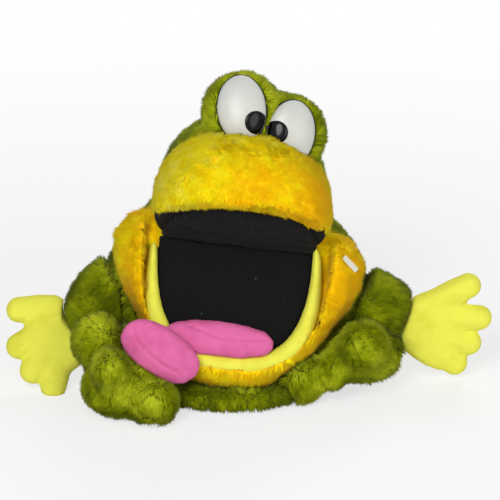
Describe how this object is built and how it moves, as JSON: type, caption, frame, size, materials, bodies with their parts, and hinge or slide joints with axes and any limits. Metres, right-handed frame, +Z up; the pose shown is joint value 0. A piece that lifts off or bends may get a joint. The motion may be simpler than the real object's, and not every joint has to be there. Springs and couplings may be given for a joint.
{
  "type": "plush frog",
  "caption": "Seated green and yellow plush frog with a wide open black-lined mouth, pink tongue over the lip, domed eyes and fleece hands",
  "frame": {"origin": "in the flat under the torso, midway between its sides and level with the floor", "axes": "+Z up, -Y the way that the frog faces, +X the frog's left"},
  "size_m": [0.366, 0.1936, 0.2403],
  "materials": {
    "green_plush": "deep olive green plush pile, matt",
    "yellow_plush": "deep golden yellow plush pile, matt with a slight sheen",
    "lime_fleece": "short brushed fleece, matt",
    "black_knit": "finely ribbed knit, matt",
    "pink_knit": "brushed knit, matt",
    "white_plastic": "glossy white",
    "black_plastic": "glossy black",
    "clear_plastic": "milky translucent"
  },
  "bodies": {
    "torso": {"torso": "green_plush", "face_pouch": "yellow_plush", "mouth_lining": "black_knit", "lip_band": "lime_fleece", "tag_pin": "clear_plastic"},
    "head": {"head": "green_plush", "muzzle": "yellow_plush", "palate_lining": "black_knit", "eye_backing_right": "black_plastic", "eye_shell_right": "white_plastic", "eye_pupil_right": "black_plastic", "eye_washer_right": "white_plastic", "eye_backing_left": "black_plastic", "eye_shell_left": "white_plastic", "eye_pupil_left": "black_plastic", "eye_washer_left": "white_plastic"},
    "arm_right": {"arm_right": "green_plush"},
    "arm_left": {"arm_left": "green_plush"},
    "hand_right": {"hand_right": "lime_fleece"},
    "hand_left": {"hand_left": "lime_fleece"},
    "thigh_right": {"thigh_right": "green_plush"},
    "thigh_left": {"thigh_left": "green_plush"},
    "foot_right": {"foot_right": "green_plush"},
    "foot_left": {"foot_left": "green_plush"},
    "tongue_root": {"tongue_root": "pink_knit"},
    "tongue_tip": {"tongue_tip": "pink_knit"}
  },
  "joints": [
    {"name": "mouth", "type": "hinge", "parent": "torso", "child": "head", "pos_m": [-0.00094, -0.02498, 0.11633], "axis": [0.9925, 0, -0.1219], "range_deg": [0, 20]},
    {"name": "shoulder_right", "type": "hinge", "parent": "torso", "child": "arm_right", "pos_m": [-0.0841, -0.00576, 0.08695], "axis": [0, 1, 0], "range_deg": [0, 20]},
    {"name": "wrist_right", "type": "hinge", "parent": "arm_right", "child": "hand_right", "pos_m": [-0.11668, -0.00576, 0.0421], "axis": [-0.809, 0, 0.5878], "range_deg": [-12, 12]},
    {"name": "shoulder_left", "type": "hinge", "parent": "torso", "child": "arm_left", "pos_m": [0.06952, 0.00216, 0.06929], "axis": [0, -1, 0], "range_deg": [0, 20]},
    {"name": "wrist_left", "type": "hinge", "parent": "arm_left", "child": "hand_left", "pos_m": [0.12055, 0.00216, 0.04763], "axis": [-0.3907, 0, -0.9205], "range_deg": [-12, 12]},
    {"name": "hip_right", "type": "hinge", "parent": "torso", "child": "thigh_right", "pos_m": [-0.05433, -0.01152, 0.0296], "axis": [0, 0, -1], "range_deg": [0, 10]},
    {"name": "ankle_right", "type": "hinge", "parent": "thigh_right", "child": "foot_right", "pos_m": [-0.08695, -0.0504, 0.02264], "axis": [0, 0, -1], "range_deg": [0, 8]},
    {"name": "hip_left", "type": "hinge", "parent": "torso", "child": "thigh_left", "pos_m": [0.05819, -0.01152, 0.0296], "axis": [0, 0, 1], "range_deg": [0, 10]},
    {"name": "ankle_left", "type": "hinge", "parent": "thigh_left", "child": "foot_left", "pos_m": [0.10649, -0.01539, 0.03448], "axis": [0, 0, 1], "range_deg": [0, 8]},
    {"name": "tongue_lift", "type": "hinge", "parent": "torso", "child": "tongue_root", "pos_m": [0.02502, -0.05745, 0.04711], "axis": [0.1113, 0.4067, 0.9067], "range_deg": [0, 25]},
    {"name": "tongue_fold", "type": "hinge", "parent": "tongue_root", "child": "tongue_tip", "pos_m": [-0.04183, -0.07416, 0.05328], "axis": [-0.7986, 0, 0.6018], "range_deg": [0, 35]}
  ]
}
